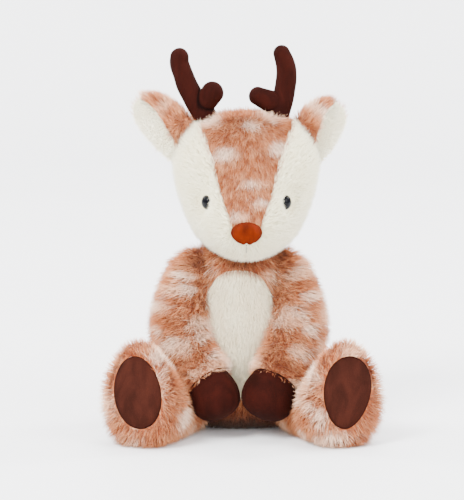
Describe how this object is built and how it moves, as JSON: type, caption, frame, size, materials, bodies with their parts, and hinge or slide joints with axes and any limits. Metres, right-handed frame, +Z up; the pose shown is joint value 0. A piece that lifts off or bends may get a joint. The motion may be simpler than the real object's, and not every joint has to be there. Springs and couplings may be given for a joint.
{
  "type": "plush deer",
  "caption": "Seated plush deer with a turning head, folding ears, swinging arms and legs, stuffed suede antlers, hooves and soles.",
  "frame": {"origin": "on the seat's flat face, on the body's middle line, under the neck seam", "axes": "+Z up through the head, -Y the way the deer faces, +X to the deer's own left"},
  "size_m": [0.1918, 0.1641, 0.2844],
  "materials": {
    "tan_fur": "long-pile faux fur, tan with cream spots",
    "cream_plush": "short-pile cream plush",
    "brown_suede": "brushed dark brown suede cloth",
    "rust_velveteen": "rust velveteen",
    "black_plastic": "polished black safety eye",
    "white_plastic": "moulded white washer",
    "white_fibre": "loose polyester fibre",
    "cotton_bag": "plain cotton bag of pellets",
    "grey_thread": "twisted thread"
  },
  "bodies": {
    "torso": {"body_fur_left": "tan_fur", "body_fur_right": "tan_fur", "tummy_panel": "cream_plush", "body_stuffing": "white_fibre", "pellet_bag": "cotton_bag"},
    "head": {"face_left": "cream_plush", "face_right": "cream_plush", "forehead_gusset": "tan_fur", "head_back": "tan_fur", "head_stuffing": "white_fibre", "eye_left": "black_plastic", "eye_right": "black_plastic", "eye_washer_left": "white_plastic", "eye_washer_right": "white_plastic", "nose": "rust_velveteen", "mouth_stitch": "grey_thread", "antler_left": "brown_suede", "antler_right": "brown_suede", "antler_stuffing_left": "white_fibre", "antler_stuffing_right": "white_fibre"},
    "left_ear": {"ear_back_left": "tan_fur", "ear_lining_left": "cream_plush"},
    "right_ear": {"ear_back_right": "tan_fur", "ear_lining_right": "cream_plush"},
    "left_arm": {"arm_left": "tan_fur", "arm_stuffing_left": "white_fibre", "hoof_left": "brown_suede"},
    "right_arm": {"arm_right": "tan_fur", "arm_stuffing_right": "white_fibre", "hoof_right": "brown_suede"},
    "left_leg": {"leg_left": "tan_fur", "leg_stuffing_left": "white_fibre", "sole_left": "brown_suede"},
    "right_leg": {"leg_right": "tan_fur", "leg_stuffing_right": "white_fibre", "sole_right": "brown_suede"},
    "tail": {"tail": "tan_fur"}
  },
  "joints": [
    {"name": "neck_turn", "type": "hinge", "parent": "torso", "child": "head", "pos_m": [0, 0.006, 0.137], "axis": [0, 0, 1], "range_deg": [-25, 25], "stiffness_Nm_per_rad": 0.05},
    {"name": "left_ear_fold", "type": "hinge", "parent": "head", "child": "left_ear", "pos_m": [0.0485, 0.004, 0.211], "axis": [-0.4305, 0, 0.9026], "range_deg": [-18, 18], "stiffness_Nm_per_rad": 0.004},
    {"name": "right_ear_fold", "type": "hinge", "parent": "head", "child": "right_ear", "pos_m": [-0.0425, 0.004, 0.211], "axis": [0.4305, 0, 0.9026], "range_deg": [-18, 18], "stiffness_Nm_per_rad": 0.004},
    {"name": "left_shoulder_swing", "type": "hinge", "parent": "torso", "child": "left_arm", "pos_m": [0.034, 0, 0.116], "axis": [-1, 0, 0], "range_deg": [0, 42], "stiffness_Nm_per_rad": 0.02},
    {"name": "right_shoulder_swing", "type": "hinge", "parent": "torso", "child": "right_arm", "pos_m": [-0.034, 0, 0.116], "axis": [-1, 0, 0], "range_deg": [0, 42], "stiffness_Nm_per_rad": 0.02},
    {"name": "left_hip_spread", "type": "hinge", "parent": "torso", "child": "left_leg", "pos_m": [0.04, 0.004, 0], "axis": [0, 0, 1], "range_deg": [0, 20], "stiffness_Nm_per_rad": 0.03},
    {"name": "right_hip_spread", "type": "hinge", "parent": "torso", "child": "right_leg", "pos_m": [-0.04, 0.004, 0], "axis": [0, 0, -1], "range_deg": [0, 20], "stiffness_Nm_per_rad": 0.03},
    {"name": "tail_wag", "type": "hinge", "parent": "torso", "child": "tail", "pos_m": [0, 0.0501, 0.036], "axis": [1, 0, 0], "range_deg": [-15, 15], "stiffness_Nm_per_rad": 0.002}
  ]
}
